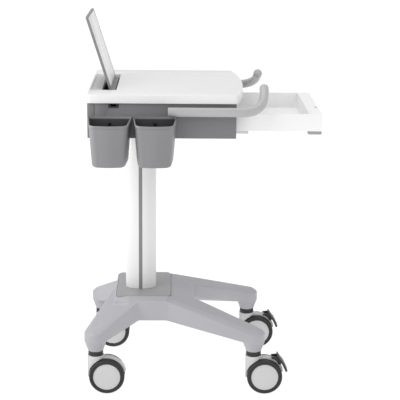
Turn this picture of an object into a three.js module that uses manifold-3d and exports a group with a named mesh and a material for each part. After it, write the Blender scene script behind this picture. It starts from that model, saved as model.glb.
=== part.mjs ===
// Rolling medical cart: a four-castor base, a fixed column, a worktop on a housing with a drawer,
// a tilting panel in a slot, two side handles and two hanging bins.
// Millimetres. +X points to the user side (the drawer), -Y to the side with the bins, +Z up.

import * as THREE from 'three';
import { ConvexGeometry } from 'three/addons/geometries/ConvexGeometry.js';
import { mergeVertices } from 'three/addons/utils/BufferGeometryUtils.js';
import Module from 'manifold-3d';

const wasm = await Module();
wasm.setup();

// ---------------------------------------------------------------- driving dimensions
const GAP = 0.3;

const WHEEL_RADIUS = 50;
const WHEEL_SIDES = 32;
const WHEEL_WIDTH = 20;
const WHEEL_INNER_Y = 9.3;
const WHEEL_TRAIL = 31.5;
const AXLE_RADIUS = 4;
const TYRE_DEPTH = 11.5;
const STEM_RADIUS = 6;
const STEM_X = 222;
const STEM_Y = 180;
const FORK_TOP = 108;
const FORK_RADIUS = 22;
const FORK_ARC = 54;
const FORK_HALF_WIDTH = 8.7;
const COLLAR_RADIUS = 21;

const BOSS_RADIUS = 31.5;
const BOSS_BOTTOM = 121;
const COLLAR_TOP = BOSS_BOTTOM - GAP;
const BOSS_TAPER_TOP = 150;
const BOSS_TOP = 183;
const HUB_TOP = 257;
const HUB_BOTTOM = 190;
const HUB_REAR = -172;
const HUB_FRONT = 55;
const HUB_FRONT_TOP = 235;
const HUB_FRONT_HALF_WIDTH = 74;
const HUB_HALF_WIDTH = 130;
const BASE_WALL = 4;
const PLATE_REAR = -167;
const PLATE_FRONT = -12.5;
const PLATE_HALF_WIDTH = 107;
const PLATE_THICKNESS = 5;
const EDGE = 16;
const EDGE_DROP = 9;

const COLUMN_X = -99;
const COLUMN_HALF_WIDTH = 43.5;
const COLUMN_HALF_DEPTH = 47;
const COLUMN_FLAT = 21;
const COLUMN_WALL = 3;
const STRIP_WIDTH = 9;
const STRIP_DEPTH = 4;

const HOUSING_REAR = -235;
const HOUSING_FRONT = 161;
const HOUSING_HALF_WIDTH = 214;
const HOUSING_BOTTOM = 735;
const HOUSING_TOP = 829.7;
const HOUSING_WALL = 3;
const REAR_COVER_LENGTH = 21;
const MOUTH_HALF_WIDTH = 177;
const MOUTH_TOP = 799;

const TOP_LOW = 830;
const TOP_HIGH = 853;
const TOP_REAR = -236;
const TOP_FRONT = 186;
const TOP_CORNER_FRONT = 164;
const TOP_HALF_WIDTH = 224;
const TOP_CORNER_RADIUS = 10;
const SLOT_REAR = -200;
const SLOT_FRONT = -161;
const SLOT_HALF_WIDTH = 142;
const LINER_BOTTOM = 806;
const LINER_TOP = 841;
const RECESS_REAR = -230;
const RECESS_DEPTH = 3;

const PANEL_PIVOT = new THREE.Vector3(-172.5, 0, 832);
const PANEL_TILT = THREE.MathUtils.degToRad(17.6);
const PANEL_HALF_WIDTH = 118.5;
const PANEL_HEIGHT = 224;
const PANEL_THICKNESS = 7;
const LEDGE_REACH = 11.5;
const LEDGE_LOW = 9;
const LEDGE_HIGH = 14;
const PANEL_PIN_RADIUS = 2;

const DRAWER_FRONT = 394;
const DRAWER_BACK = 94;
const DRAWER_HALF_WIDTH = 175;
const DRAWER_LOW = 748.4;
const DRAWER_HIGH = 796;
const DRAWER_RIM = 35;
const DRAWER_WALL = 4;
const GRIP_LOW = 740;
const RUNNER_Y = 158;
const RUNNER_TRAVEL = 233;

const HANDLE_RADIUS = 12.5;
const HANDLE_Y = 235;
const HANDLE_Z = 810;

const BIN_CENTRES = [-175, -55];
const BIN_BACK_Y = -214.4;
const BIN_RIM = 794;
const BIN_BOTTOM = 672;
const BIN_WALL = 3;

const LOCK_Y = -70;
const LOCK_Z = 817;
const GROMMET_X = -165;

const AXLE_Z = WHEEL_RADIUS * Math.cos(Math.PI / WHEEL_SIDES);
const PEDAL_PIVOT = [42, 35.5];

// ---------------------------------------------------------------- colours
const WHITE = 0xf2f2f0;
const BASE_GREY = 0xb4b4b8;
const PLATE_GREY = 0xa4a4a6;
const HOUSING_GREY = 0x9c9ca0;
const LIGHT_GREY = 0xcfcfcf;
const MID_GREY = 0x8a8a8c;
const NEAR_BLACK = 0x222224;
const TYRE_GREY = 0x3a3a3c;
const STEEL = 0xb8bbbe;

const cart = new THREE.Group();

// ---------------------------------------------------------------- shared helpers
function toSolid(geometry) {
  const bare = geometry.index ? geometry.toNonIndexed() : geometry.clone();
  bare.deleteAttribute('normal');
  bare.deleteAttribute('uv');
  const merged = mergeVertices(bare, 1e-4);
  return new wasm.Manifold(new wasm.Mesh({
    numProp: 3,
    vertProperties: new Float32Array(merged.attributes.position.array),
    triVerts: new Uint32Array(merged.index.array),
  }));
}

function toGeometry(solid) {
  const mesh = solid.getMesh();
  const geometry = new THREE.BufferGeometry();
  geometry.setAttribute('position', new THREE.BufferAttribute(mesh.vertProperties, 3));
  geometry.setIndex(new THREE.BufferAttribute(mesh.triVerts, 1));
  return geometry;
}

function box(x0, x1, y0, y1, z0, z1) {
  const geometry = new THREE.BoxGeometry(x1 - x0, y1 - y0, z1 - z0);
  geometry.translate((x0 + x1) / 2, (y0 + y1) / 2, (z0 + z1) / 2);
  return toSolid(geometry);
}

function extrude(shape, depth, curveSegments = 8) {
  return new THREE.ExtrudeGeometry(shape, { depth, bevelEnabled: false, curveSegments });
}

// A plan outline (x, y) raised from z0 to z1.
function plan(shape, z0, z1, curveSegments) {
  return toSolid(extrude(shape, z1 - z0, curveSegments).translate(0, 0, z0));
}

// A side outline (x, z) that runs from y0 to y1.
function side(shape, y0, y1, curveSegments) {
  return toSolid(extrude(shape, y1 - y0, curveSegments).rotateX(Math.PI / 2).translate(0, y1, 0));
}

function outline(points) {
  return new THREE.Shape(points.map(([a, b]) => new THREE.Vector2(a, b)));
}

function roundedRectangle(x0, x1, y0, y1, radius) {
  const shape = new THREE.Shape();
  shape.absarc(x1 - radius, y0 + radius, radius, -Math.PI / 2, 0);
  shape.absarc(x1 - radius, y1 - radius, radius, 0, Math.PI / 2);
  shape.absarc(x0 + radius, y1 - radius, radius, Math.PI / 2, Math.PI);
  shape.absarc(x0 + radius, y0 + radius, radius, Math.PI, 1.5 * Math.PI);
  return shape;
}

function uprightCylinder(radius, x, y, z0, z1, topRadius = radius, sides = 28) {
  const geometry = new THREE.CylinderGeometry(topRadius, radius, z1 - z0, sides);
  geometry.rotateX(Math.PI / 2).translate(x, y, (z0 + z1) / 2);
  return toSolid(geometry);
}

function crossCylinder(radius, x, z, y0, y1, sides = 28) {
  const geometry = new THREE.CylinderGeometry(radius, radius, y1 - y0, sides);
  return toSolid(geometry.translate(x, (y0 + y1) / 2, z));
}

function hull(points) {
  return toSolid(new ConvexGeometry(points));
}

function ring(x, y, z, radius, sides = 24) {
  return Array.from({ length: sides }, (unused, step) => {
    const angle = (2 * Math.PI * step) / sides;
    return new THREE.Vector3(x + radius * Math.cos(angle), y + radius * Math.sin(angle), z);
  });
}

function add(name, solid, colour, roughness = 0.5, metalness = 0, parent = cart) {
  const material = new THREE.MeshStandardMaterial({ color: colour, roughness, metalness });
  const mesh = new THREE.Mesh(toGeometry(solid), material);
  mesh.name = name;
  parent.add(mesh);
}

function mirrorY(solid) {
  return solid.mirror([0, 1, 0]);
}

// ---------------------------------------------------------------- base
// One leg: a straight-sided form from a wide root in the hub down to a round boss.
function leg(sx, sy) {
  const root = sx > 0
    ? [[HUB_FRONT - 2, HUB_FRONT_HALF_WIDTH - 2, HUB_FRONT_TOP],
      [-30, HUB_HALF_WIDTH - 4, HUB_TOP], [-60, 60, HUB_TOP]]
    : [[HUB_REAR, 34, HUB_TOP], [-100, HUB_HALF_WIDTH - 4, HUB_TOP], [-110, 40, HUB_TOP]];
  const bossX = sx * STEM_X;
  const bossY = sy * STEM_Y;
  const points = [
    ...ring(bossX, bossY, BOSS_TOP, BOSS_RADIUS - 11),
    ...ring(bossX, bossY, BOSS_TOP - EDGE_DROP, BOSS_RADIUS),
    ...ring(bossX, bossY, BOSS_TAPER_TOP, BOSS_RADIUS),
  ];
  for (const [x, y, top] of root) {
    points.push(new THREE.Vector3(x, sy * (y - EDGE), top));
    points.push(new THREE.Vector3(x, sy * y, top - EDGE_DROP));
    points.push(new THREE.Vector3(x, sy * y, HUB_BOTTOM));
  }
  return hull(points);
}

function hub() {
  const points = [];
  const corners = [
    [HUB_REAR, 112, HUB_TOP],
    [-130, HUB_HALF_WIDTH, HUB_TOP],
    [-22, HUB_HALF_WIDTH, HUB_TOP],
    [HUB_FRONT, HUB_FRONT_HALF_WIDTH, HUB_FRONT_TOP],
  ];
  for (const [x, y, top] of corners) {
    for (const sy of [-1, 1]) {
      const step = x === HUB_REAR ? -4 : 0;
      points.push(new THREE.Vector3(x - step, sy * (y - EDGE), top));
      points.push(new THREE.Vector3(x, sy * y, top - EDGE_DROP));
      points.push(new THREE.Vector3(x, sy * y, HUB_BOTTOM));
    }
  }
  return hull(points);
}

// The hollow under one leg, open downwards, which stops short of the boss.
function legHollow(sx, sy) {
  const reach = sx > 0 ? 0.72 : 0.45;
  const startX = sx > 0 ? -20 : -120;
  const endX = startX + (sx * STEM_X - startX) * reach;
  const endY = 85 + (STEM_Y - 85) * reach;
  const endTop = HUB_TOP - (HUB_TOP - BOSS_TOP) * reach - 2.5 * BASE_WALL;
  const points = [];
  for (const [x, y, halfWidth, top] of [
    [startX, 85, 30, HUB_TOP - 4 * BASE_WALL],
    [endX, endY, 16, endTop],
  ]) {
    for (const offset of [-halfWidth, halfWidth]) {
      const across = sx > 0 ? [offset * 0.37, offset] : [-offset * 0.8, offset * 0.8];
      points.push(new THREE.Vector3(x + across[0], sy * (y + across[1]), top));
      points.push(new THREE.Vector3(x + across[0], sy * (y + across[1]), BOSS_BOTTOM));
    }
  }
  return hull(points);
}

function makeBase() {
  let shell = hub();
  for (const sx of [-1, 1]) {
    for (const sy of [-1, 1]) {
      const x = sx * STEM_X;
      const y = sy * STEM_Y;
      shell = shell.add(leg(sx, sy));
      shell = shell.add(uprightCylinder(COLLAR_RADIUS, x, y, BOSS_BOTTOM, BOSS_TAPER_TOP, BOSS_RADIUS));
    }
  }
  const recess = roundedRectangle(
    PLATE_REAR - GAP, PLATE_FRONT + GAP, -PLATE_HALF_WIDTH - GAP, PLATE_HALF_WIDTH + GAP, 12 + GAP);
  shell = shell.subtract(plan(recess, HUB_TOP - PLATE_THICKNESS - GAP, HUB_TOP + 1, 5));
  shell = shell.subtract(box(-150, 0, -105, 105, HUB_BOTTOM - 1, HUB_TOP - 4 * BASE_WALL));
  for (const sx of [-1, 1]) {
    for (const sy of [-1, 1]) {
      shell = shell.subtract(legHollow(sx, sy));
      const bore = uprightCylinder(
        STEM_RADIUS + GAP, sx * STEM_X, sy * STEM_Y, BOSS_BOTTOM - 1, BOSS_TOP - 20);
      shell = shell.subtract(bore);
    }
  }
  add('base_shell', shell, BASE_GREY, 0.45);

  const coverOutline = roundedRectangle(
    PLATE_REAR, PLATE_FRONT, -PLATE_HALF_WIDTH, PLATE_HALF_WIDTH, 12);
  const cover = plan(coverOutline, HUB_TOP - PLATE_THICKNESS, HUB_TOP, 5);
  add('base_cover_plate', cover, PLATE_GREY, 0.3);
}

// ---------------------------------------------------------------- column
function columnOutline(inset) {
  const halfWidth = COLUMN_HALF_WIDTH - inset;
  const halfDepth = COLUMN_HALF_DEPTH - inset;
  const shape = new THREE.Shape();
  const bulge = halfDepth - COLUMN_FLAT;
  shape.absellipse(COLUMN_X, COLUMN_FLAT, halfWidth, bulge, 0, Math.PI, false, 0);
  shape.absellipse(COLUMN_X, -COLUMN_FLAT, halfWidth, bulge, Math.PI, 2 * Math.PI, false, 0);
  return shape;
}

function makeColumn() {
  const low = HUB_TOP + GAP;
  const high = HOUSING_BOTTOM - GAP;
  const grooveHalf = STRIP_WIDTH / 2 + GAP;
  let column = plan(columnOutline(0), low, high, 16);
  column = column.subtract(plan(columnOutline(COLUMN_WALL + STRIP_DEPTH), low - 1, high + 1, 16));
  for (const sy of [-1, 1]) {
    const outer = sy * (COLUMN_HALF_DEPTH + 1);
    const inner = sy * (COLUMN_HALF_DEPTH - STRIP_DEPTH - GAP);
    const groove = box(COLUMN_X - grooveHalf, COLUMN_X + grooveHalf,
      Math.min(outer, inner), Math.max(outer, inner), low - 1, high + 1);
    column = column.subtract(groove);
    const front = sy * (COLUMN_HALF_DEPTH - 0.8);
    const back = sy * (COLUMN_HALF_DEPTH - STRIP_DEPTH);
    const strip = box(COLUMN_X - STRIP_WIDTH / 2, COLUMN_X + STRIP_WIDTH / 2,
      Math.min(front, back), Math.max(front, back), low, high);
    add(sy < 0 ? 'column_strip_near' : 'column_strip_far', strip, MID_GREY, 0.5);
  }
  add('column', column, WHITE, 0.35, 0.2);

  const head = plan(columnOutline(-8), HOUSING_BOTTOM + HOUSING_WALL + GAP, DRAWER_LOW - 2, 10);
  add('column_head_plate', head, STEEL, 0.4, 0.9);
}

// ---------------------------------------------------------------- housing and worktop
function makeHousing() {
  const wall = HOUSING_WALL;
  const halfWidth = HOUSING_HALF_WIDTH;
  const front = HOUSING_FRONT;
  const rear = HOUSING_REAR + REAR_COVER_LENGTH + GAP;
  let shell = box(rear, front, -halfWidth, halfWidth, HOUSING_BOTTOM, HOUSING_TOP);
  const inside = box(rear - 1, front - wall, wall - halfWidth, halfWidth - wall,
    HOUSING_BOTTOM + wall, HOUSING_TOP + 1);
  shell = shell.subtract(inside);
  const mouth = box(front - wall - 1, front + 1, -MOUTH_HALF_WIDTH, MOUTH_HALF_WIDTH,
    HOUSING_BOTTOM + wall, MOUTH_TOP);
  const relief = box(front - DRAWER_RIM - 6, front + 1, -MOUTH_HALF_WIDTH, MOUTH_HALF_WIDTH,
    HOUSING_BOTTOM - 1, HOUSING_BOTTOM + wall + 1);
  shell = shell.subtract(mouth).subtract(relief);
  const lockHole = new THREE.CylinderGeometry(5.3, 5.3, 20, 20);
  lockHole.rotateZ(Math.PI / 2).translate(front, LOCK_Y, LOCK_Z);
  shell = shell.subtract(toSolid(lockHole));
  const notch = box(GROMMET_X - 13 - GAP, GROMMET_X + 13 + GAP, -halfWidth - 1, wall - halfWidth + 1,
    HOUSING_TOP - 13 - GAP, HOUSING_TOP + 1);
  shell = shell.subtract(notch);
  add('housing_shell', shell, HOUSING_GREY, 0.4);

  let cover = box(HOUSING_REAR, HOUSING_REAR + REAR_COVER_LENGTH, -halfWidth, halfWidth,
    HOUSING_BOTTOM, HOUSING_TOP);
  const hollow = box(HOUSING_REAR + wall, HOUSING_REAR + REAR_COVER_LENGTH + 1,
    wall - halfWidth, halfWidth - wall, HOUSING_BOTTOM + wall, HOUSING_TOP - wall);
  cover = cover.subtract(hollow);
  add('housing_rear_cover', cover, HOUSING_GREY, 0.4);

  let grommet = box(GROMMET_X - 13, GROMMET_X + 13, -halfWidth - 0.6, wall - halfWidth,
    HOUSING_TOP - 13, HOUSING_TOP);
  const slot = box(GROMMET_X - 8, GROMMET_X + 8, -halfWidth - 1, wall - halfWidth + 1,
    HOUSING_TOP - 9, HOUSING_TOP - 4);
  grommet = grommet.subtract(slot);
  add('cable_grommet', grommet, NEAR_BLACK, 0.6);
}

function makeLock() {
  const faceX = HOUSING_FRONT + GAP;
  const along = (radius, x0, x1, sides = 20) => {
    const geometry = new THREE.CylinderGeometry(radius, radius, x1 - x0, sides);
    return toSolid(geometry.rotateZ(Math.PI / 2).translate((x0 + x1) / 2, LOCK_Y, LOCK_Z));
  };
  const ringSolid = along(7.5, faceX, faceX + 9).subtract(along(5.3, faceX - 1, faceX + 10));
  add('lock_ring', ringSolid, NEAR_BLACK, 0.35, 0.4);

  const inner = HOUSING_FRONT - HOUSING_WALL - 5;
  let plug = along(5, inner, faceX + 13);
  plug = plug.add(box(inner, inner + 3, LOCK_Y - 5, LOCK_Y + 24, LOCK_Z - 5, LOCK_Z + 5));
  plug = plug.subtract(box(faceX + 10, faceX + 14, LOCK_Y - 0.8, LOCK_Y + 0.8, LOCK_Z - 3.5, LOCK_Z + 3.5));
  add('lock_plug', plug, NEAR_BLACK, 0.3, 0.6);
}

function makeTop() {
  const shape = new THREE.Shape();
  const r = TOP_CORNER_RADIUS;
  const sagitta = TOP_FRONT - TOP_CORNER_FRONT;
  const radius = (TOP_HALF_WIDTH ** 2 + sagitta ** 2) / (2 * sagitta);
  const halfAngle = Math.asin((TOP_HALF_WIDTH - r) / radius);
  shape.absarc(TOP_FRONT - radius, 0, radius, -halfAngle, halfAngle);
  const cornerX = TOP_FRONT - radius + radius * Math.cos(halfAngle) - r;
  shape.absarc(cornerX, TOP_HALF_WIDTH - r, r, 0.15, Math.PI / 2);
  shape.absarc(TOP_REAR + r, TOP_HALF_WIDTH - r, r, Math.PI / 2, Math.PI);
  shape.absarc(TOP_REAR + r, r - TOP_HALF_WIDTH, r, Math.PI, 1.5 * Math.PI);
  shape.absarc(cornerX, r - TOP_HALF_WIDTH, r, -Math.PI / 2, -0.15);
  let top = plan(shape, TOP_LOW, TOP_HIGH, 10);
  top = top.subtract(box(SLOT_REAR, SLOT_FRONT, -SLOT_HALF_WIDTH, SLOT_HALF_WIDTH, TOP_LOW - 1, TOP_HIGH + 1));
  const recessFloor = TOP_HIGH - RECESS_DEPTH;
  top = top.subtract(
    box(RECESS_REAR, SLOT_REAR + 1, -SLOT_HALF_WIDTH, SLOT_HALF_WIDTH, recessFloor, TOP_HIGH + 1));
  add('tabletop', top, WHITE, 0.3);

  const x0 = SLOT_REAR + GAP;
  const x1 = SLOT_FRONT - GAP;
  const y = SLOT_HALF_WIDTH - GAP;
  let liner = box(x0, x1, -y, y, LINER_BOTTOM, LINER_TOP);
  liner = liner.subtract(box(x0 + 2, x1 - 2, -y + 2, y - 2, LINER_BOTTOM + 2, TOP_HIGH));
  const pivotX = PANEL_PIVOT.x;
  const pivotZ = PANEL_PIVOT.z;
  const blockInner = PANEL_HALF_WIDTH + 1;
  for (const [y0, y1] of [[-y + 1, -blockInner], [blockInner, y - 1]]) {
    liner = liner.add(box(pivotX - 8, x1 - 1, y0, y1, LINER_BOTTOM + 1, pivotZ + 6));
  }
  const pinEnd = y - 2;
  liner = liner.subtract(crossCylinder(PANEL_PIN_RADIUS + GAP, pivotX, pivotZ, -pinEnd, pinEnd, 16));
  add('slot_liner', liner, NEAR_BLACK, 0.6);
}

// ---------------------------------------------------------------- tilting panel
// The panel is drawn upright from its pivot, then leaned back about the pivot.
function makePanel() {
  const panel = new THREE.Group();
  panel.position.copy(PANEL_PIVOT);
  panel.rotation.y = -PANEL_TILT;
  cart.add(panel);

  const half = PANEL_HALF_WIDTH;
  const corner = 9;
  const bottom = -5;
  const frontal = (inset, x0, x1, low) => {
    const shape = new THREE.Shape();
    shape.moveTo(-half + inset, low);
    shape.lineTo(half - inset, low);
    shape.absarc(half - corner, PANEL_HEIGHT - corner, corner - inset, 0, Math.PI / 2);
    shape.absarc(corner - half, PANEL_HEIGHT - corner, corner - inset, Math.PI / 2, Math.PI);
    const geometry = extrude(shape, x1 - x0, 5);
    const basis = new THREE.Matrix4().makeBasis(
      new THREE.Vector3(0, 1, 0), new THREE.Vector3(0, 0, 1), new THREE.Vector3(1, 0, 0));
    return toSolid(geometry.applyMatrix4(basis).translate(x0, 0, 0));
  };
  const t = PANEL_THICKNESS / 2;
  let back = frontal(0, -t, t, bottom);
  back = back.subtract(frontal(4, t - 2 - GAP, t + 1, 24));
  back = back.subtract(crossCylinder(PANEL_PIN_RADIUS + GAP, 0, 0, -half - 1, half + 1, 16));
  back = back.add(box(t - 0.5, LEDGE_REACH, 1 - half, half - 1, LEDGE_LOW, LEDGE_HIGH));
  add('panel_back', back, MID_GREY, 0.45, 0, panel);
  const face = frontal(4 + GAP, t - 2, t - 0.4, 24 + GAP);
  add('panel_face', face, 0xe6e6e6, 0.35, 0, panel);
  const pinHalf = SLOT_HALF_WIDTH - 3 * GAP - 2;
  const pin = crossCylinder(PANEL_PIN_RADIUS, 0, 0, -pinHalf, pinHalf, 16);
  add('panel_hinge_pin', pin, STEEL, 0.3, 1, panel);
}

// ---------------------------------------------------------------- drawer
function makeDrawer() {
  const y = DRAWER_HALF_WIDTH;
  const rimX = DRAWER_FRONT - DRAWER_RIM;
  const wall = DRAWER_WALL;
  let tray = box(DRAWER_BACK, DRAWER_FRONT, -y, y, DRAWER_LOW, DRAWER_HIGH);
  tray = tray.subtract(box(DRAWER_BACK + wall, rimX, wall - y, y - wall, DRAWER_LOW + 3, DRAWER_HIGH + 1));
  const camX = HOUSING_FRONT - HOUSING_WALL - 5 + RUNNER_TRAVEL;
  tray = tray.subtract(box(camX - 2, camX + 5, LOCK_Y - 12, LOCK_Y + 12, DRAWER_HIGH - 8, DRAWER_HIGH + 1));
  add('drawer_tray', tray, WHITE, 0.35);
  const grip = box(rimX - 2, DRAWER_FRONT, -y, y, GRIP_LOW, DRAWER_LOW - GAP)
    .subtract(box(rimX + 6, DRAWER_FRONT - 6, 10 - y, y - 10, GRIP_LOW - 1, DRAWER_LOW - 4));
  add('drawer_grip', grip, LIGHT_GREY, 0.5);

  const floor = HOUSING_BOTTOM + HOUSING_WALL + GAP;
  const slideFront = 196;
  for (const sy of [-1, 1]) {
    const name = sy < 0 ? 'near' : 'far';
    const centre = sy * RUNNER_Y;
    const fixedFront = HOUSING_FRONT - DRAWER_RIM - 8;
    const fixed = box(-130, fixedFront, centre - 11, centre + 11, floor, floor + 7.6)
      .subtract(box(-131, fixedFront + 1, centre - 9.3, centre + 9.3, floor + 1.2, floor + 8));
    add(`runner_channel_${name}`, fixed, STEEL, 0.35, 0.9);
    const slide = box(slideFront - 200, slideFront, centre - 9, centre + 9, floor + 1.5, DRAWER_LOW - GAP);
    add(`runner_slide_${name}`, slide, STEEL, 0.3, 0.9);
  }
}

// ---------------------------------------------------------------- handles
function makeHandles() {
  const points = [
    new THREE.Vector3(-21, -HANDLE_Y, HANDLE_Z),
    new THREE.Vector3(176, -HANDLE_Y, HANDLE_Z),
    new THREE.Vector3(238, -196, 826),
    new THREE.Vector3(238, -137, 858),
  ];
  const straight = new THREE.LineCurve3(points[0], points[1]);
  const bend = new THREE.CubicBezierCurve3(points[1],
    new THREE.Vector3(222, -HANDLE_Y, HANDLE_Z), points[2], points[3]);
  const section = new THREE.Shape();
  section.absarc(0, 0, HANDLE_RADIUS, 0, 2 * Math.PI);
  const sweep = (curve, steps) => toSolid(new THREE.ExtrudeGeometry(
    section, { steps, extrudePath: curve, bevelEnabled: false, curveSegments: 8 }));
  let handle = sweep(straight, 1).add(sweep(bend, 10));
  const joint = new THREE.SphereGeometry(HANDLE_RADIUS, 14, 8);
  handle = handle.add(toSolid(joint.clone().translate(...points[1].toArray())));
  handle = handle.add(toSolid(joint.clone().translate(...points[3].toArray())));
  for (const x of [15, 125]) {
    handle = handle.add(
      box(x - 18, x + 18, -HANDLE_Y + 4, -HOUSING_HALF_WIDTH - GAP, HANDLE_Z - 8, HANDLE_Z + 8));
  }
  add('handle_near', handle, LIGHT_GREY, 0.4);
  add('handle_far', mirrorY(handle), LIGHT_GREY, 0.4);
}

// ---------------------------------------------------------------- bins
// A bin is a D-shaped cup with a flat back, narrower and shallower towards its rounded bottom.
function binForm(centre, inset, floorLift, rimLift) {
  const points = [];
  const level = (z, backHalf, frontHalf, depth) => {
    const back = BIN_BACK_Y - inset;
    const front = BIN_BACK_Y - depth + inset;
    points.push(new THREE.Vector3(centre - backHalf + inset, back, z));
    points.push(new THREE.Vector3(centre + backHalf - inset, back, z));
    const corner = 22;
    for (const sx of [-1, 1]) {
      for (let step = 0; step <= 4; step += 1) {
        const angle = (step / 4) * (Math.PI / 2);
        const x = frontHalf - inset - corner * (1 - Math.cos(angle));
        const y = front + corner * (1 - Math.sin(angle));
        points.push(new THREE.Vector3(centre + sx * x, y, z));
      }
    }
  };
  level(BIN_RIM + rimLift, 58, 51, 104);
  level(BIN_BOTTOM + 12 + floorLift, 52, 48, 94);
  level(BIN_BOTTOM + floorLift, 45, 42, 86);
  return hull(points);
}

function makeBins() {
  BIN_CENTRES.forEach((centre, index) => {
    const rimSlope = outline([
      [BIN_BACK_Y + 1, BIN_RIM], [BIN_BACK_Y - 110, BIN_RIM - 8],
      [BIN_BACK_Y - 110, BIN_RIM + 30], [BIN_BACK_Y + 1, BIN_RIM + 30]]);
    const basis = new THREE.Matrix4().makeBasis(
      new THREE.Vector3(0, 1, 0), new THREE.Vector3(0, 0, 1), new THREE.Vector3(1, 0, 0));
    const trim = toSolid(extrude(rimSlope, 140).applyMatrix4(basis).translate(centre - 70, 0, 0));
    const cup = binForm(centre, 0, 0, 0).subtract(binForm(centre, BIN_WALL, BIN_WALL, 1)).subtract(trim);
    add(`bin_${index + 1}`, cup, 0xb9b9b9, 0.5);
  });
}

// ---------------------------------------------------------------- castors
function lathe(profile) {
  const points = profile.map(([radius, height]) => new THREE.Vector2(radius, height));
  const geometry = new THREE.LatheGeometry(points, WHEEL_SIDES);
  return toSolid(geometry.rotateY(Math.PI / WHEEL_SIDES));
}

function tyreSolid() {
  const outer = WHEEL_RADIUS;
  const inner = WHEEL_RADIUS - TYRE_DEPTH;
  const y0 = WHEEL_INNER_Y;
  const y1 = WHEEL_INNER_Y + WHEEL_WIDTH;
  return lathe([[inner, y0], [outer - 2, y0], [outer, y0 + 2.5], [outer, y1 - 5],
    [outer - 3, y1 - 1], [outer - 6, y1], [inner, y1 - 1], [inner, y0]]);
}

function hubSolid() {
  const rim = WHEEL_RADIUS - TYRE_DEPTH - GAP;
  const y0 = WHEEL_INNER_Y;
  const y1 = WHEEL_INNER_Y + WHEEL_WIDTH;
  const bore = AXLE_RADIUS + GAP;
  return lathe([[0, y1 - 5], [bore, y1 - 5], [bore, y0], [rim, y0], [rim, y1 - 2],
    [rim - 4, y1 - 1], [rim - 14, y1 - 0.5], [0, y1 + 1]]);
}

function forkSolid(braked) {
  const web = new THREE.Shape();
  web.moveTo(-WHEEL_TRAIL - FORK_RADIUS, -6);
  web.lineTo(-10, -16);
  web.lineTo(14, -10);
  web.lineTo(FORK_ARC * Math.cos(0.2), FORK_ARC * Math.sin(0.2));
  web.absarc(0, 0, FORK_ARC, 0.2, 1.7);
  web.lineTo(-WHEEL_TRAIL + FORK_RADIUS, FORK_TOP - AXLE_Z);
  web.lineTo(-WHEEL_TRAIL - FORK_RADIUS, FORK_TOP - AXLE_Z);
  let fork = side(web, -FORK_HALF_WIDTH, FORK_HALF_WIDTH, 14);
  const head = uprightCylinder(FORK_RADIUS, -WHEEL_TRAIL, 0, 8, FORK_TOP - AXLE_Z);
  const room = crossCylinder(WHEEL_RADIUS + 1.5, 0, 0, -40, 40, 36)
    .subtract(crossCylinder(WHEEL_RADIUS + 10, 0, 0, -FORK_HALF_WIDTH, FORK_HALF_WIDTH, 36));
  fork = fork.add(head.subtract(room));
  fork = fork.subtract(crossCylinder(AXLE_RADIUS + GAP, 0, 0, -40, 40, 20));
  fork = fork.subtract(uprightCylinder(
    STEM_RADIUS + GAP, -WHEEL_TRAIL, 0, FORK_TOP - AXLE_Z - 20, FORK_TOP - AXLE_Z + 1));
  if (braked) {
    const lug = crossCylinder(4, PEDAL_PIVOT[0], PEDAL_PIVOT[1], -FORK_HALF_WIDTH, FORK_HALF_WIDTH, 20);
    fork = fork.add(lug);
    fork = fork.subtract(crossCylinder(1.8, PEDAL_PIVOT[0], PEDAL_PIVOT[1], -40, 40, 14));
  }
  return fork;
}

function pedalSolid() {
  const [px, pz] = PEDAL_PIVOT;
  const plate = outline([[34, 60], [37, 61], [44.5, 50], [54, 38], [65, 15], [60, 12], [50, 33], [40, 48]]);
  const cheek = outline([[px - 3.6, pz - 1], [px + 1, pz - 3.6], [px + 4, pz], [52, 37], [42, 52],
    [36, 57], [19, 55], [18, 52], [33, 44.5], [37, 39]]);
  let pedal = side(plate, -18, 18);
  for (const y of [FORK_HALF_WIDTH + GAP + 0.2, -FORK_HALF_WIDTH - GAP - 4.2]) {
    pedal = pedal.add(side(cheek, y, y + 4));
  }
  return pedal.add(crossCylinder(1.5, px, pz, -FORK_HALF_WIDTH - 3, FORK_HALF_WIDTH + 3, 14));
}

function makeCastor(name, sx, sy) {
  const stemX = sx * STEM_X;
  const stemY = sy * STEM_Y;
  const braked = sx > 0;
  const stemLow = FORK_TOP - 18;
  add(`castor_stem_${name}`, uprightCylinder(STEM_RADIUS, stemX, stemY, stemLow, BOSS_TOP - 22),
    STEEL, 0.3, 1);
  const collar = uprightCylinder(COLLAR_RADIUS - 1, stemX, stemY, FORK_TOP + GAP, FORK_TOP + 3, COLLAR_RADIUS)
    .add(uprightCylinder(COLLAR_RADIUS, stemX, stemY, FORK_TOP + 3, COLLAR_TOP))
    .subtract(uprightCylinder(STEM_RADIUS + GAP, stemX, stemY, FORK_TOP, COLLAR_TOP + 1));
  add(`castor_collar_${name}`, collar, NEAR_BLACK, 0.5);

  const wheel = new THREE.Group();
  wheel.position.set(stemX + WHEEL_TRAIL, stemY, AXLE_Z);
  cart.add(wheel);
  add(`castor_fork_${name}`, forkSolid(braked), LIGHT_GREY, 0.45, 0, wheel);
  const axleHalf = WHEEL_INNER_Y + WHEEL_WIDTH - 5.5;
  add(`castor_axle_${name}`, crossCylinder(AXLE_RADIUS, 0, 0, -axleHalf, axleHalf, 20),
    STEEL, 0.3, 1, wheel);
  for (const [face, flip] of [['far', false], ['near', true]]) {
    const tyre = flip ? mirrorY(tyreSolid()) : tyreSolid();
    const hubCap = flip ? mirrorY(hubSolid()) : hubSolid();
    add(`tyre_${name}_${face}`, tyre, TYRE_GREY, 0.6, 0, wheel);
    add(`wheel_hub_${name}_${face}`, hubCap, LIGHT_GREY, 0.4, 0, wheel);
  }
  if (braked) {
    add(`brake_pedal_${name}`, pedalSolid(), NEAR_BLACK, 0.45, 0, wheel);
  }
}

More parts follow.
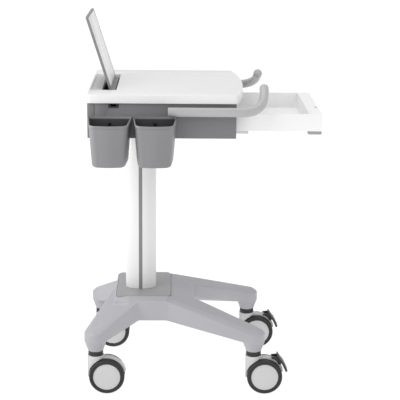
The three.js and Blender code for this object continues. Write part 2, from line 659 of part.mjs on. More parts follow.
// ---------------------------------------------------------------- assembly
makeBase();
makeColumn();
makeHousing();
makeLock();
makeTop();
makePanel();
makeDrawer();
makeHandles();
makeBins();
makeCastor('front_near', 1, -1);
makeCastor('front_far', 1, 1);
makeCastor('rear_near', -1, -1);
makeCastor('rear_far', -1, 1);

// The origin is the middle of the whole cart's footprint, on the floor.
const bounds = new THREE.Box3().setFromObject(cart, true);
const group = new THREE.Group();
cart.position.set(-(bounds.min.x + bounds.max.x) / 2, -(bounds.min.y + bounds.max.y) / 2, -bounds.min.z);
group.add(cart);

export default group;
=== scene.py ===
import math

import bmesh
import bpy
from mathutils import Matrix, Vector


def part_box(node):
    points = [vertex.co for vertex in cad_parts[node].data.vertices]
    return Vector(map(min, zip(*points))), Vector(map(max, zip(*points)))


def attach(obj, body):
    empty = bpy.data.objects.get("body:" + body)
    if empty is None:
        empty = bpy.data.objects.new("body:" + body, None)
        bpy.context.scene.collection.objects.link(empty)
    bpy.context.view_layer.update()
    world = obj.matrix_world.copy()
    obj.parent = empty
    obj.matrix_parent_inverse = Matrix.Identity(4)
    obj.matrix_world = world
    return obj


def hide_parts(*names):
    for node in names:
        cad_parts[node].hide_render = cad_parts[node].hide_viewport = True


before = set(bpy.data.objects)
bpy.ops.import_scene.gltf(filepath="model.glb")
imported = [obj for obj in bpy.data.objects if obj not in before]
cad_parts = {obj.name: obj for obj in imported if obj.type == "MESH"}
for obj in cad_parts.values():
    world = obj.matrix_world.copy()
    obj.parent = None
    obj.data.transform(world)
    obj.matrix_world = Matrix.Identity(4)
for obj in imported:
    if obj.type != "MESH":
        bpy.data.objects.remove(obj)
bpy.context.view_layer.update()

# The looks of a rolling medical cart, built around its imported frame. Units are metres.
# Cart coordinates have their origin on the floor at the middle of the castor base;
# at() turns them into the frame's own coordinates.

MM = 0.001
CASTORS = ("front_near", "front_far", "rear_near", "rear_far")
SIDES = {"near": -1, "far": 1}
X_AXIS = Vector((1, 0, 0))
Y_AXIS = Vector((0, 1, 0))
Z_AXIS = Vector((0, 0, 1))


def middle(node):
    """The middle of a CAD node's box, in the frame's coordinates."""
    low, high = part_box(node)
    return (low + high) / 2


STEMS = [middle(f"castor_stem_{name}") for name in CASTORS]
BASE = sum(STEMS, Vector()) / len(STEMS)
BASE.z = 0.0


def at(x, y, z):
    """Cart coordinates in millimetres to the frame's coordinates in metres."""
    return BASE + Vector((x, y, z)) * MM


def local(point):
    """The frame's coordinates in metres to cart coordinates in millimetres."""
    return (Vector(point) - BASE) / MM


def box_mm(node):
    """The two corners of a CAD node's box, in cart coordinates."""
    low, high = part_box(node)
    return local(low), local(high)


# ---------------------------------------------------------------- camera, light and studio
CAMERA_DISTANCE = 3427
CAMERA_HEIGHT = 1398
CAMERA_PITCH = 14.51
CAMERA_YAW = 1.18
CAMERA_ROLL = 0.58
LENS_MM = 110.7
SENSOR_MM = 36.0
CLIP_END = 200

# Each light's name, place and target in cart millimetres, its size in metres and its watts.
LIGHTS = (
    ("key", (-1500, -1700, 2600), (0, 0, 600), 1.6, 12),
    ("fill", (2200, -1500, 1500), (0, 0, 600), 2.0, 9),
    ("top", (0, 600, 3000), (0, 0, 800), 2.2, 17),
    ("side", (-1100, -500, 900), (-200, -220, 760), 0.4, 6),
)
WORLD_STRENGTH = 0.68
FLOOR_REACH = 60
FLOOR_DROP = 0.0005
FLOOR_GREY = 0.12
FLOOR_GLOW = 0.93


def add_camera():
    data = bpy.data.cameras.new("camera")
    data.sensor_width = SENSOR_MM
    data.lens = LENS_MM
    data.clip_end = CLIP_END
    camera = bpy.data.objects.new("camera", data)
    camera.location = at(0, -CAMERA_DISTANCE, CAMERA_HEIGHT)
    aim = Matrix.Rotation(math.radians(-CAMERA_YAW), 4, "Z")
    tilt = Matrix.Rotation(math.radians(90 - CAMERA_PITCH), 4, "X")
    roll = Matrix.Rotation(math.radians(CAMERA_ROLL), 4, "Z")
    camera.matrix_world = Matrix.Translation(camera.location) @ aim @ tilt @ roll
    bpy.context.scene.collection.objects.link(camera)
    bpy.context.scene.camera = camera


def add_area_light(name, position, target, size, watts):
    data = bpy.data.lights.new(name, "AREA")
    data.shape = "SQUARE"
    data.size = size
    data.energy = watts
    light = bpy.data.objects.new(name, data)
    light.location = position
    light.rotation_euler = (Vector(target) - Vector(position)).to_track_quat("-Z", "Y").to_euler()
    bpy.context.scene.collection.objects.link(light)


def add_floor():
    """A softly glowing white floor, so wide that it fills the view; its sizes are in metres."""
    bm = bmesh.new()
    corners = [(-1, -1), (1, -1), (1, 1), (-1, 1)]
    bm.faces.new([bm.verts.new((BASE.x + x * FLOOR_REACH, BASE.y + y * FLOOR_REACH, -FLOOR_DROP))
                  for x, y in corners])
    mesh = bpy.data.meshes.new("studio_floor")
    bm.to_mesh(mesh)
    bm.free()
    sheet = bpy.data.objects.new("studio_floor", mesh)
    bpy.context.scene.collection.objects.link(sheet)
    material = bpy.data.materials.new("studio_floor")
    material.use_nodes = True
    shader = material.node_tree.nodes["Principled BSDF"]
    shader.inputs["Base Color"].default_value = (FLOOR_GREY, FLOOR_GREY, FLOOR_GREY, 1)
    shader.inputs["Roughness"].default_value = 0.9
    shader.inputs["Emission Color"].default_value = (1, 1, 1, 1)
    shader.inputs["Emission Strength"].default_value = FLOOR_GLOW
    mesh.materials.append(material)


def add_studio():
    world = bpy.data.worlds.new("studio")
    world.use_nodes = True
    background = world.node_tree.nodes["Background"]
    background.inputs["Color"].default_value = (1, 1, 1, 1)
    background.inputs["Strength"].default_value = WORLD_STRENGTH
    scene = bpy.context.scene
    scene.world = world
    scene.view_settings.view_transform = "Standard"
    for name, position, target, size, watts in LIGHTS:
        add_area_light(name, at(*position), at(*target), size, watts)
    add_floor()


# ---------------------------------------------------------------- materials
def mix_colours(nodes, links, factor, first, second):
    mix = nodes.new("ShaderNodeMix")
    mix.data_type = "RGBA"
    mix.inputs["A"].default_value = (*first, 1)
    mix.inputs["B"].default_value = (*second, 1)
    links.new(factor, mix.inputs["Factor"])
    return mix.outputs["Result"]


def noise(nodes, links, position, scale, detail, stretch=(1, 1, 1)):
    mapping = nodes.new("ShaderNodeMapping")
    mapping.inputs["Scale"].default_value = stretch
    links.new(position, mapping.inputs["Vector"])
    texture = nodes.new("ShaderNodeTexNoise")
    texture.inputs["Scale"].default_value = scale
    texture.inputs["Detail"].default_value = detail
    links.new(mapping.outputs["Vector"], texture.inputs["Vector"])
    return texture.outputs["Fac"]


def ranged(nodes, links, value, low, high, to_low, to_high):
    remap = nodes.new("ShaderNodeMapRange")
    remap.inputs["From Min"].default_value = low
    remap.inputs["From Max"].default_value = high
    remap.inputs["To Min"].default_value = to_low
    remap.inputs["To Max"].default_value = to_high
    links.new(value, remap.inputs["Value"])
    return remap.outputs["Result"]


EDGE_WEAR = 0.05
RELIEF_STRENGTH = 0.68
NOISE_RANGE = (0.3, 0.7)
EDGE_RANGE = (0.53, 0.62)
DRIFT_SCALE = 9.0


def surface(name, colour, roughness, grain, bump, shift=0.03, metallic=0.0, stretch=(1, 1, 1)):
    """A moulded, coated or drawn surface: a slow colour drift of the given shift, a fine grain in
    roughness and relief, and a light rub along its edges. Grain and bump are in millimetres."""
    material = bpy.data.materials.new(name)
    material.use_nodes = True
    nodes = material.node_tree.nodes
    links = material.node_tree.links
    shader = nodes["Principled BSDF"]
    shader.inputs["Metallic"].default_value = metallic
    position = nodes.new("ShaderNodeTexCoord").outputs["Object"]
    drift = noise(nodes, links, position, DRIFT_SCALE, 3.0)
    drift = ranged(nodes, links, drift, *NOISE_RANGE, 0.0, 1.0)
    dark = tuple(c * (1 - shift) for c in colour)
    light = tuple(min(1.0, c * (1 + shift)) for c in colour)
    tone = mix_colours(nodes, links, drift, dark, light)
    geometry = nodes.new("ShaderNodeNewGeometry")
    edge = ranged(nodes, links, geometry.outputs["Pointiness"], *EDGE_RANGE, 0.0, EDGE_WEAR)
    rub = nodes.new("ShaderNodeMix")
    rub.data_type = "RGBA"
    rub.inputs["B"].default_value = (*[min(1.0, c * 1.5 + 0.05) for c in colour], 1)
    links.new(tone, rub.inputs["A"])
    links.new(edge, rub.inputs["Factor"])
    links.new(rub.outputs["Result"], shader.inputs["Base Color"])
    fine = noise(nodes, links, position, 1000.0 / grain, 2.0, stretch)
    links.new(ranged(nodes, links, fine, *NOISE_RANGE, roughness - 0.04, roughness + 0.05),
              shader.inputs["Roughness"])
    relief = nodes.new("ShaderNodeBump")
    relief.inputs["Strength"].default_value = RELIEF_STRENGTH
    relief.inputs["Distance"].default_value = bump * MM
    links.new(fine, relief.inputs["Height"])
    links.new(relief.outputs["Normal"], shader.inputs["Normal"])
    return material


# Each material's colour and roughness, then its grain, bump, shift, metallic and stretch.
LOOKS = {
    "base_plastic": ((0.42, 0.42, 0.445), 0.46, 0.7, 0.05),
    "cover_plastic": ((0.33, 0.33, 0.335), 0.26, 1.2, 0.01),
    "column_aluminium": ((0.8, 0.8, 0.795), 0.3, 1.6, 0.015, 0.01),
    "strip_plastic": ((0.23, 0.23, 0.23), 0.5, 0.6, 0.03),
    "steel_plate": ((0.55, 0.56, 0.58), 0.32, 0.8, 0.01, 0.05, 1.0, (0.05, 1, 1)),
    "housing_plastic": ((0.185, 0.185, 0.193), 0.42, 0.6, 0.04),
    "black_plastic": ((0.02, 0.02, 0.022), 0.42, 0.7, 0.05, 0.1),
    "lock_metal": ((0.05, 0.05, 0.055), 0.3, 0.5, 0.01, 0.1, 0.8),
    "top_plastic": ((0.83, 0.83, 0.83), 0.3, 1.0, 0.012, 0.008),
    "pad_plastic": ((0.62, 0.62, 0.61), 0.5, 0.8, 0.04),
    "liner_plastic": ((0.015, 0.015, 0.015), 0.6, 0.8, 0.04, 0.1),
    "panel_plastic": ((0.22, 0.22, 0.225), 0.42, 0.6, 0.03),
    "panel_sheet": ((0.72, 0.72, 0.72), 0.25, 1.4, 0.004, 0.006),
    "drawer_plastic": ((0.93, 0.93, 0.93), 0.34, 0.9, 0.015, 0.01),
    "grip_plastic": ((0.36, 0.36, 0.365), 0.5, 0.7, 0.04),
    "handle_plastic": ((0.44, 0.44, 0.445), 0.24, 0.8, 0.02),
    "bin_plastic": ((0.235, 0.235, 0.245), 0.44, 0.8, 0.03),
    # A much darker copy of the bin plastic: painted shade for the bins' inner faces.
    "bin_inside_painted_shade": ((0.07, 0.07, 0.072), 0.55, 0.8, 0.04),
    "fork_plastic": ((0.62, 0.62, 0.62), 0.42, 0.8, 0.03),
    "hub_plastic": ((0.6, 0.6, 0.6), 0.4, 0.8, 0.02),
    "tyre_rubber": ((0.022, 0.022, 0.023), 0.55, 0.9, 0.08, 0.2),
    "pin_steel": ((0.6, 0.61, 0.63), 0.28, 0.5, 0.005, 0.03, 1.0, (1, 0.08, 1)),
}
MATERIALS = {name: surface(name, *look) for name, look in LOOKS.items()}


# ---------------------------------------------------------------- mesh helpers
SMOOTH_ANGLE = 32
MERGE_DISTANCE = 1e-6


def shade(mesh, angle):
    """Shades a mesh smooth, apart from edges sharper than an angle in degrees."""
    mesh.shade_smooth()
    mesh.set_sharp_from_angle(angle=math.radians(angle))


def add_object(name, bm, angle=SMOOTH_ANGLE):
    bmesh.ops.remove_doubles(bm, verts=bm.verts, dist=MERGE_DISTANCE)
    bmesh.ops.recalc_face_normals(bm, faces=bm.faces)
    mesh = bpy.data.meshes.new(name)
    bm.to_mesh(mesh)
    bm.free()
    shade(mesh, angle)
    piece = bpy.data.objects.new(name, mesh)
    bpy.context.scene.collection.objects.link(piece)
    return piece


def settle(piece, angle=SMOOTH_ANGLE):
    """Applies the piece's modifiers to its mesh."""
    bpy.context.view_layer.update()
    graph = bpy.context.evaluated_depsgraph_get()
    mesh = bpy.data.meshes.new_from_object(piece.evaluated_get(graph))
    piece.modifiers.clear()
    piece.data = mesh
    mesh.name = piece.name
    shade(mesh, angle)


def bevel(piece, width, segments, angle=30):
    """Rounds the edges sharper than an angle in degrees, by a width in millimetres."""
    modifier = piece.modifiers.new("bevel", "BEVEL")
    modifier.width = width * MM
    modifier.segments = segments
    modifier.limit_method = "ANGLE"
    modifier.angle_limit = math.radians(angle)
    modifier.use_clamp_overlap = False
    modifier.miter_outer = "MITER_ARC"
    settle(piece)


def cut(piece, tool, operation="DIFFERENCE"):
    """Takes a tool away from a piece, or joins it on, and removes the tool."""
    modifier = piece.modifiers.new("boolean", "BOOLEAN")
    modifier.operation = operation
    modifier.solver = "EXACT"
    modifier.object = tool
    settle(piece)
    bpy.data.objects.remove(tool)


def slab(name, loops, low, high, place=at):
    """A flat solid: closed outlines in millimetres, the first outside and the rest holes."""
    bm = bmesh.new()
    edges = []
    for loop in loops:
        ring = [bm.verts.new(place(u, v, low)) for u, v in loop]
        edges += [bm.edges.new((ring[i - 1], ring[i])) for i in range(len(ring))]
    if len(loops) == 1:
        faces = [bm.faces.new([edge.verts[1] for edge in edges])]
    else:
        filled = bmesh.ops.triangle_fill(bm, edges=edges, use_beauty=True)
        faces = [f for f in filled["geom"] if isinstance(f, bmesh.types.BMFace)]
    lifted = bmesh.ops.extrude_face_region(bm, geom=faces)
    rise = place(0, 0, high) - place(0, 0, low)
    verts = [v for v in lifted["geom"] if isinstance(v, bmesh.types.BMVert)]
    bmesh.ops.translate(bm, vec=rise, verts=verts)
    return add_object(name, bm)


def side_place(u, v, w):
    """Places a side outline: u along X, v up, w along Y."""
    return at(u, w, v)


def arc(cx, cy, radius, start, end, steps, radius_y=None):
    """Points along a circle's or an ellipse's arc, between two angles in degrees."""
    tall = radius if radius_y is None else radius_y
    return [(cx + radius * math.cos(a), cy + tall * math.sin(a))
            for a in (math.radians(start + (end - start) * i / steps) for i in range(steps + 1))]


def rounded_rectangle(x0, x1, y0, y1, radius, steps=8):
    return (arc(x1 - radius, y0 + radius, radius, -90, 0, steps)
            + arc(x1 - radius, y1 - radius, radius, 0, 90, steps)
            + arc(x0 + radius, y1 - radius, radius, 90, 180, steps)
            + arc(x0 + radius, y0 + radius, radius, 180, 270, steps))


def rings_to_piece(name, rings, close=False, angle=SMOOTH_ANGLE):
    """Skins a row of equal closed rings of points and caps both ends, or joins the last to the first."""
    bm = bmesh.new()
    rows = [[bm.verts.new(p) for p in ring] for ring in rings]
    count = len(rows[0])
    pairs = list(zip(rows, rows[1:]))
    if close:
        pairs.append((rows[-1], rows[0]))
    for first, second in pairs:
        for i in range(count):
            bm.faces.new((first[i - 1], first[i], second[i], second[i - 1]))
    if not close:
        bm.faces.new(rows[0])
        bm.faces.new(rows[-1])
    return add_object(name, bm, angle)


def lathe(name, profile, centre, axis, steps, close=False, angle=SMOOTH_ANGLE):
    """Turns (radius, height) points, in millimetres, round an axis through a centre point."""
    side = X_AXIS if abs(axis.x) < 0.5 else Y_AXIS
    other = axis.cross(side)
    rings = []
    for radius, height in profile:
        ring = []
        for i in range(steps):
            turn = 2 * math.pi * i / steps
            out = side * math.cos(turn) + other * math.sin(turn)
            ring.append(centre + (axis * height + out * radius) * MM)
        rings.append(ring)
    return rings_to_piece(name, rings, close, angle)


def rod(name, radius, low, high, centre, axis, steps):
    """A round bar along an axis, between two distances from a centre point."""
    return lathe(name, [(radius, low), (radius, high)], centre, axis, steps)


def sweep(name, path, radii, steps):
    """A round bar along a path of points, with a radius at each point, all in millimetres."""
    points = [at(*p) for p in path]
    rings = []
    normal = Z_AXIS
    for i, point in enumerate(points):
        ahead = points[min(i + 1, len(points) - 1)]
        behind = points[max(i - 1, 0)]
        along = (ahead - behind).normalized()
        normal = (normal - along * normal.dot(along)).normalized()
        across = along.cross(normal)
        ring = []
        for k in range(steps):
            turn = 2 * math.pi * k / steps
            ring.append(point + (normal * math.cos(turn) + across * math.sin(turn)) * radii[i] * MM)
        rings.append(ring)
    return rings_to_piece(name, rings)


def copy_of(node, name):
    """A new piece with the shape of a CAD node, its flat faces joined up again."""
    bm = bmesh.new()
    bm.from_mesh(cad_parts[node].data)
    bmesh.ops.remove_doubles(bm, verts=bm.verts, dist=MERGE_DISTANCE)
    bmesh.ops.dissolve_limit(bm, angle_limit=math.radians(0.6), verts=bm.verts, edges=bm.edges)
    return add_object(name, bm)


def dress(piece, body, slot, *nodes, material=None):
    """Gives a piece its material, the one named by slot unless another is given, rides it on a body and
    lets it stand for CAD nodes.
    """
    piece.data.materials.clear()
    piece.data.materials.append(MATERIALS[material or slot])
    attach(piece, body)
    if nodes:
        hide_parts(*nodes)


def paint_shade_inside(piece, centre, top, name):
    """Gives the faces that look towards the middle of a hollow, below its lip, a second material, a darker
    one that paints the shade inside the hollow.
    """
    piece.data.materials.append(MATERIALS[name])
    for face in piece.data.polygons:
        if face.center.z < top * MM and (centre - face.center).dot(face.normal) > 0:
            face.material_index = 1


def eased(node, body, slot, width, segments=2):
    """Replaces a CAD node by a piece of its shape with rounded edges."""
    piece = copy_of(node, f"{node}_shape")
    bevel(piece, width, segments)
    dress(piece, body, slot, node)


def moulded(piece, voxel, smoothing, share):
    """Remeshes a piece evenly, softens its edges and keeps a share of its faces."""
    remesh = piece.modifiers.new("remesh", "REMESH")
    remesh.mode = "VOXEL"
    remesh.voxel_size = voxel * MM
    smooth = piece.modifiers.new("smooth", "SMOOTH")
    smooth.factor = 0.5
    smooth.iterations = smoothing
    thin = piece.modifiers.new("thin", "DECIMATE")
    thin.ratio = share
    settle(piece, 40)


# ---------------------------------------------------------------- base and column
def make_base():
    shell = copy_of("base_shell", "base_shell_shape")
    moulded(shell, 2.0, 4, 0.35)
    low, high = box_mm("base_cover_plate")
    gap = 1.1
    recess = slab("recess", [rounded_rectangle(low.x - gap, high.x + gap, low.y - gap, high.y + gap, 13)],
                  low.z - 0.3, high.z + 4)
    cut(shell, recess)
    dress(shell, "cart", "base_plastic", "base_shell")

    cover = slab("base_cover", [rounded_rectangle(low.x, high.x, low.y, high.y, 12, 10)], low.z, high.z)
    bevel(cover, 0.7, 3)
    dress(cover, "cart", "cover_plastic", "base_cover_plate")


def column_outline(inset):
    """Two half ellipses joined by flats, drawn in by an inset."""
    steps = 40
    low, high = box_mm("column")
    half = (high.x - low.x) / 2 - inset
    flat = 21
    bulge = (high.y - low.y) / 2 - inset - flat
    cx = (low.x + high.x) / 2
    return arc(cx, flat, half, 0, 180, steps, bulge) + arc(cx, -flat, half, 180, 360, steps, bulge)


def make_column():
    low, high = box_mm("column")
    wall = 6
    column = slab("column_tube", [column_outline(0), column_outline(wall)], low.z, high.z)
    play = 0.4
    for side, sign in SIDES.items():
        strip_low, strip_high = box_mm(f"column_strip_{side}")
        inner = min(abs(strip_low.y), abs(strip_high.y)) - play
        left, right = strip_low.x - play, strip_high.x + play
        bottom, top = sorted((sign * inner, sign * (abs(high.y) + 3)))
        groove = slab("groove", [[(left, bottom), (right, bottom), (right, top), (left, top)]],
                      low.z - 5, high.z + 5)
        cut(column, groove)
        eased(f"column_strip_{side}", "cart", "strip_plastic", 0.5)
    bevel(column, 0.6, 2, 40)
    dress(column, "cart", "column_aluminium", "column")
    eased("column_head_plate", "cart", "steel_plate", 0.5)


# ---------------------------------------------------------------- housing and worktop
def make_housing():
    eased("housing_shell", "cart", "housing_plastic", 1.1)
    eased("housing_rear_cover", "cart", "housing_plastic", 1.1)
    eased("cable_grommet", "cart", "black_plastic", 0.3)
    for side in SIDES:
        eased(f"runner_channel_{side}", "cart", "steel_plate", 0.3)
        eased(f"runner_slide_{side}", f"runner_{side}", "steel_plate", 0.5)


def make_worktop():
    """The board with its bowed front edge; each front corner's arc starts where it meets the bow."""
    low, high = box_mm("tabletop")
    half = high.y
    front = high.x
    bow = 22
    radius = (half ** 2 + bow ** 2) / (2 * bow)
    corner = 10
    corner_turn = 9
    swing = math.degrees(math.asin((half - corner) / radius))
    corner_at = front - radius + radius * math.cos(math.radians(swing)) - corner
    outer = arc(front - radius, 0, radius, -swing, swing, 60)
    outer += arc(corner_at, half - corner, corner, corner_turn, 90, 8)
    outer += arc(low.x + corner, half - corner, corner, 90, 180, 10)
    outer += arc(low.x + corner, corner - half, corner, 180, 270, 10)
    outer += arc(corner_at, corner - half, corner, -90, -corner_turn, 8)
    liner_low, liner_high = box_mm("slot_liner")
    gap = 0.3
    near, far = liner_low.y - gap, liner_high.y + gap
    slot = rounded_rectangle(liner_low.x - gap, liner_high.x + gap, near, far, 2.5, 4)
    top = slab("worktop", [outer, slot], low.z, high.z)
    rear_margin = 6
    depth = 3
    recess = slab("recess", [rounded_rectangle(low.x + rear_margin, liner_low.x + 4, near, far, 2.5, 4)],
                  high.z - depth, high.z + 5)
    cut(top, recess)
    bevel(top, 1.6, 4)
    play = 0.4
    pad_outline = rounded_rectangle(low.x + 6.4, liner_low.x - gap - 1, near + play, far - play, 2.2, 4)
    pad = slab("worktop_pad", [pad_outline], high.z - 2.95, high.z - 1.8)
    bevel(pad, 0.4, 2)
    dress(pad, "cart", "top_plastic", material="pad_plastic")
    dress(top, "cart", "top_plastic", "tabletop")
    eased("slot_liner", "cart", "liner_plastic", 0.4)


def make_lock():
    ring_low, ring_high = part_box("lock_ring")
    centre = (ring_low + ring_high) / 2
    centre.x = ring_low.x
    length = (ring_high.x - ring_low.x) / MM
    bore = 5.3
    outside = 7.5
    chamfer = 1.2
    profile = [(bore, 0), (outside, 0), (outside, length - chamfer), (outside - chamfer / 2, length),
               (bore, length)]
    ring = lathe("lock_collar", profile, centre, X_AXIS, 48, True)
    dress(ring, "cart", "lock_metal", "lock_ring")
    eased("lock_plug", "lock", "lock_metal", 0.3)


# ---------------------------------------------------------------- tilting panel
def make_panel():
    pin = local(middle("panel_hinge_pin"))
    tilt = math.radians(17.6)
    half = 118.5
    height = 224
    half_thick = 3.5
    corner = 9
    frame_width = 4
    frame_bottom = 24
    face_back = 1.5

    def lean(u, v, w):
        """Places u across the cart, v up the leaning panel from its pin and w out of its face."""
        x = pin.x + w * math.cos(tilt) - v * math.sin(tilt)
        z = pin.z + w * math.sin(tilt) + v * math.cos(tilt)
        return at(x, u, z)

    def outline(inset, bottom):
        """The panel's outline above a bottom line, with round upper corners, drawn in by an inset."""
        radius = corner - inset
        return ([(-half + inset, bottom), (half - inset, bottom)]
                + arc(half - corner, height - corner, radius, 0, 90, 8)
                + arc(corner - half, height - corner, radius, 90, 180, 8))

    back = slab("panel_shell", [outline(0, -5)], -half_thick, half_thick, lean)
    recess = slab("panel_recess", [outline(frame_width, frame_bottom)], face_back, 6, lean)
    cut(back, recess)
    bore = rod("panel_bore", 2.3, -150, 150, at(pin.x, 0, pin.z), Y_AXIS, 32)
    cut(back, bore)
    end = half - 1
    ledge_low, ledge_high, ledge_reach = 9, 14, 11.5
    ledge_outline = [(-end, ledge_low), (end, ledge_low), (end, ledge_high), (-end, ledge_high)]
    ledge = slab("ledge", [ledge_outline], 3, ledge_reach, lean)
    cut(back, ledge, "UNION")
    bevel(back, 0.9, 3)
    dress(back, "panel", "panel_plastic", "panel_back")
    play = 1.2
    sheet = slab("panel_sheet", [outline(frame_width + play, frame_bottom + play)], face_back, 3.1, lean)
    bevel(sheet, 0.5, 2)
    dress(sheet, "panel", "panel_sheet", "panel_face")
    eased("panel_hinge_pin", "cart", "pin_steel", 0.3)


# ---------------------------------------------------------------- drawer
def make_drawer():
    low, high = box_mm("drawer_tray")
    wall = 4
    rim = 35
    floor = 3
    tray = slab("drawer_body", [rounded_rectangle(low.x, high.x, low.y, high.y, 4)], low.z, high.z)
    inside = slab("inside", [rounded_rectangle(low.x + wall, high.x - rim, low.y + wall, high.y - wall, 7)],
                  low.z + floor, high.z + 10)
    bevel(inside, 3, 4, 60)
    cut(tray, inside)
    lock = local(middle("lock_ring"))
    catch_x = high.x - 8
    reach = 12.4
    catch_outline = rounded_rectangle(catch_x - 2.4, catch_x + 5.4, lock.y - reach, lock.y + reach, 0.5, 3)
    catch = slab("catch", [catch_outline], high.z - 8.4, high.z + 1)
    bevel(tray, 1.2, 3, 40)
    cut(tray, catch)
    dress(tray, "drawer", "drawer_plastic", "drawer_tray")

    low, high = box_mm("drawer_grip")
    grip = slab("drawer_pull", [rounded_rectangle(low.x, high.x, low.y, high.y, 5)], low.z, high.z)
    hollow = slab("hollow", [rounded_rectangle(low.x + 8, high.x - 6, low.y + 10, high.y - 10, 4)],
                  low.z - 1, high.z - 3.7)
    cut(grip, hollow)
    bevel(grip, 1.2, 3, 40)
    dress(grip, "drawer", "grip_plastic", "drawer_grip")


# ---------------------------------------------------------------- handles
def bezier(points, t):
    """The point a share t along a cubic curve."""
    a, b, c, d = [Vector(p) for p in points]
    s = 1 - t
    return a * s ** 3 + b * 3 * s * s * t + c * 3 * s * t * t + d * t ** 3


def make_handles():
    """A bar on each side that bends inwards and up to a round tip, with two feet on the housing."""
    radius = 12.5
    level = 810
    bend_steps = 32
    tip_steps = 9
    for side, sign in SIDES.items():
        y = sign * 235
        bend = [(176, y, level), (222, y, level), (238, sign * 196, 826), (238, sign * 137, 858)]
        path = [Vector((x, y, level)) for x in (-21, -20, -10, 80)]
        radii = [radius - 1, radius, radius, radius]
        path += [bezier(bend, i / bend_steps) for i in range(bend_steps + 1)]
        radii += [radius] * (bend_steps + 1)
        tip = Vector(bend[3])
        along = (tip - Vector(bend[2])).normalized()
        for i in range(1, tip_steps + 1):
            turn = math.radians(88 * i / tip_steps)
            path.append(tip + along * radius * math.sin(turn))
            radii.append(radius * math.cos(turn))
        bar = sweep(f"handle_bar_{side}", path, radii, 40)
        foot_low, foot_high = sorted((sign * 214.3, sign * 229))
        for x in (15, 125):
            outline = rounded_rectangle(x - 18, x + 18, level - 8, level + 8, 4)
            foot = slab("foot", [outline], foot_low, foot_high, side_place)
            cut(bar, foot, "UNION")
        dress(bar, "cart", "handle_plastic", f"handle_{side}")


# ---------------------------------------------------------------- bins
BIN_BOTTOM = 672
BIN_HEIGHT = 122
BIN_DEPTH = 103
BIN_WALL = 2.6
BIN_LEVELS = 9
BIN_SAMPLES = 10


def bin_ring(centre, back_y, fraction, inset):
    """One level of a bin, from 0 at the bottom to 1 at the rim, drawn in by an inset. The rim
    slopes down from the back to the bowed front."""
    back_half = 48 + 10 * fraction - inset
    front_half = 44 + 7 * fraction - inset
    depth = 84.8 + 14.5 * fraction - 2 * inset
    corner = 20 - inset
    chamfer = 3
    bow = 3.0
    rim_slope = 8.0
    back = back_y - inset
    front = back - depth
    points = [(back_half - chamfer, back), (back_half, back - chamfer)]
    arc_points = arc(front_half - corner, front + corner, corner, 0, -90, BIN_SAMPLES)
    points += arc_points[:-1]
    for i in range(BIN_SAMPLES + 1):
        share = 1 - 2 * i / BIN_SAMPLES
        points.append(((front_half - corner) * share, front - bow * (1 - share * share)))
    points += [(-x, y) for x, y in reversed(arc_points[:-1])]
    points += [(-back_half, back - chamfer), (-back_half + chamfer, back)]
    height = BIN_BOTTOM + BIN_HEIGHT * fraction
    return [at(centre + x, y, height - rim_slope * fraction * (back_y - y) / BIN_DEPTH) for x, y in points]


def bin_levels():
    """The fraction and inset of each level: a round foot, the outside, the rim, the inside and
    a round floor."""
    levels = []
    for turn in (90, 72, 54, 36, 18, 0):
        angle = math.radians(turn)
        levels.append((0.07 * (1 - math.sin(angle)), 8 * (1 - math.cos(angle))))
    levels += [(0.07 + 0.87 * i / BIN_LEVELS, 0) for i in range(1, BIN_LEVELS + 1)]
    levels += [(0.945, -1.0), (0.99, -1.0), (1.0, -0.2), (1.0, 1.8), (0.99, BIN_WALL)]
    levels += [(0.95 - 0.85 * i / BIN_LEVELS, BIN_WALL) for i in range(BIN_LEVELS)]
    for turn in (0, 30, 60, 90):
        angle = math.radians(turn)
        levels.append((0.1 - 0.06 * math.sin(angle), BIN_WALL + 7 * (1 - math.cos(angle))))
    return levels


def make_bins():
    head = [(0.01, 1.0), (1.6, 1.0), (2.0, 2.4), (4.2, 2.0), (4.6, 0.4), (4.6, -0.6), (0.01, -0.6)]
    for index in (1, 2):
        low, high = box_mm(f"bin_{index}")
        centre = (low.x + high.x) / 2
        back = high.y
        rings = [bin_ring(centre, back, fraction, inset) for fraction, inset in bin_levels()]
        cup = rings_to_piece(f"bin_cup_{index}", rings, False, 40)
        dress(cup, "cart", "bin_plastic", f"bin_{index}")
        # The inner faces below the lip get the darker copy of the bin plastic: painted shade inside the
        # cups.
        inside_top = 788.5
        paint_shade_inside(cup, at(centre, back - 50, 750), inside_top, "bin_inside_painted_shade")
        screw = lathe(f"bin_screw_{index}", head, at(centre, back - 3.0, 774), -Y_AXIS, 32)
        dress(screw, "cart", "lock_metal")


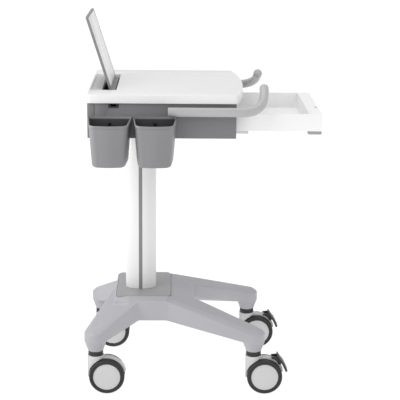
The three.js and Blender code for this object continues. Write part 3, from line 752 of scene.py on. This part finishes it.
# ---------------------------------------------------------------- castors
def make_wheel(name, face):
    """One tyre and its disc; heights run outwards from the tyre's inner side."""
    tyre_low, tyre_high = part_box(f"tyre_{name}_{face}")
    centre = (tyre_low + tyre_high) / 2
    sign = SIDES[face]
    centre.y = tyre_low.y if sign > 0 else tyre_high.y
    axis = Vector((0, sign, 0))
    width = (tyre_high.y - tyre_low.y) / MM
    outer = (tyre_high.z - tyre_low.z) / 2 / MM
    inner = 38.6
    inner_side = [(inner, 0.6), (inner + 1, 0), (outer - 3, 0), (outer - 1.2, 0.5), (outer - 0.3, 1.6)]
    tread = [(outer, 3.2), (outer, width - 8), (outer - 0.5, width - 7.4), (outer - 0.5, width - 6.8),
             (outer, width - 6.2)]
    shoulder = [(outer - 0.2, width - 4.4), (outer - 1.2, width - 2.4), (outer - 2.9, width - 0.9),
                (outer - 4.6, width - 0.25)]
    side_groove = [(outer - 5.8, width - 0.5), (outer - 6.4, width - 1.1), (outer - 7.0, width - 0.5)]
    side = [(outer - 8.6, width - 0.1), (inner + 1.2, width - 0.5), (inner, width - 1.4)]
    tyre = lathe(f"tyre_ring_{name}_{face}", inner_side + tread + shoulder + side_groove + side,
                 centre, axis, 112, True, 50)
    dress(tyre, f"wheels_{name}", "tyre_rubber", f"tyre_{name}_{face}")

    rim = 38.2
    bore = 4.3
    axis_radius = 0.02
    back = [(axis_radius, width - 5.2), (bore, width - 5.2), (bore, 0.2), (rim - 1, 0.2), (rim, 1.2)]
    lip = [(rim, width - 2.4), (rim - 0.8, width - 1.5), (rim - 3.2, width - 1.0), (rim - 4.0, width - 1.5),
           (rim - 4.8, width - 1.5), (rim - 5.6, width - 0.9)]
    dome = [(28, width - 0.3), (20, width + 0.3), (10, width + 0.75), (axis_radius, width + 0.9)]
    disc = lathe(f"wheel_disc_{name}_{face}", back + lip + dome, centre, axis, 112, False, 50)
    dress(disc, f"wheels_{name}", "hub_plastic", f"wheel_hub_{name}_{face}")


def make_fork(name, braked):
    """The yoke: a narrow web between the wheels, with a round head under the stem."""
    axle = local(middle(f"castor_axle_{name}"))
    stem = local(middle(f"castor_stem_{name}"))
    fork_low, fork_high = box_mm(f"castor_fork_{name}")
    top = fork_high.z - axle.z
    rear = fork_low.x - axle.x
    half = 8.7
    arc_radius = 54
    arc_start = math.degrees(0.2)
    arc_end = 97.4
    wheel_room = 51.5
    axle_at = at(axle.x, axle.y, axle.z)
    stem_at = at(stem.x, stem.y, axle.z)

    def place(u, v, w):
        """Places u along the cart and v up, from the axle, and w along it."""
        return at(axle.x + u, axle.y + w, axle.z + v)

    web = [(rear, -6), (-10, -16), (14, -10)] + arc(0, 0, arc_radius, arc_start, arc_end, 40)
    web += [(rear + 44, top), (rear, top)]
    fork = slab("web", [web], -half, half, place)
    head = rod("head", 22, 8, top, stem_at, Z_AXIS, 64)
    room = rod("room", wheel_room, -40, 40, axle_at, Y_AXIS, 96)
    spared = rod("spared", 70, -half, half, axle_at, Y_AXIS, 96)
    cut(room, spared)
    cut(head, room)
    cut(fork, head, "UNION")
    if braked:
        pedal_pivot = place(42, 35.5, 0)
        lug = rod("lug", 4, -half, half, pedal_pivot, Y_AXIS, 32)
        cut(fork, lug, "UNION")
        hole = rod("hole", 1.8, -40, 40, pedal_pivot, Y_AXIS, 24)
        cut(fork, hole)
    bore = rod("bore", 6.3, top - 20, top + 5, stem_at, Z_AXIS, 32)
    cut(fork, bore)
    axle_bore = rod("axle_bore", 4.3, -40, 40, axle_at, Y_AXIS, 32)
    cut(fork, axle_bore)
    bevel(fork, 0.9, 3, 35)
    fork.name = f"castor_yoke_{name}"
    dress(fork, f"swivel_{name}", "fork_plastic", f"castor_fork_{name}")
    eased(f"castor_axle_{name}", f"swivel_{name}", "pin_steel", 0.3)


def make_collar(name):
    """The collar round a stem: a chamfered foot, a groove and a chamfered top."""
    low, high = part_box(f"castor_collar_{name}")
    centre = (low + high) / 2
    centre.z = low.z
    height = (high.z - low.z) / MM
    bore = 6.3
    outer = 20.9
    foot = [(bore, 0), (20, 0), (20.4, 1.4), (outer, 2.2)]
    groove = [(outer, 5.6), (20.3, 6.1), (20.3, 6.9), (outer, 7.4)]
    top = [(outer, height - 1), (20.2, height), (bore, height)]
    collar = lathe(f"castor_cap_{name}", foot + groove + top, centre, Z_AXIS, 80, True)
    dress(collar, "cart", "black_plastic", f"castor_collar_{name}")


def make_castor(name):
    braked = name.startswith("front")
    make_collar(name)
    eased(f"castor_stem_{name}", "cart", "pin_steel", 0.5)
    make_fork(name, braked)
    for face in SIDES:
        make_wheel(name, face)
    if braked:
        eased(f"brake_pedal_{name}", f"pedal_{name}", "black_plastic", 0.7)


# ---------------------------------------------------------------- assembly
add_camera()
add_studio()
make_base()
make_column()
make_housing()
make_worktop()
make_lock()
make_panel()
make_drawer()
make_handles()
make_bins()
for castor_name in CASTORS:
    make_castor(castor_name)
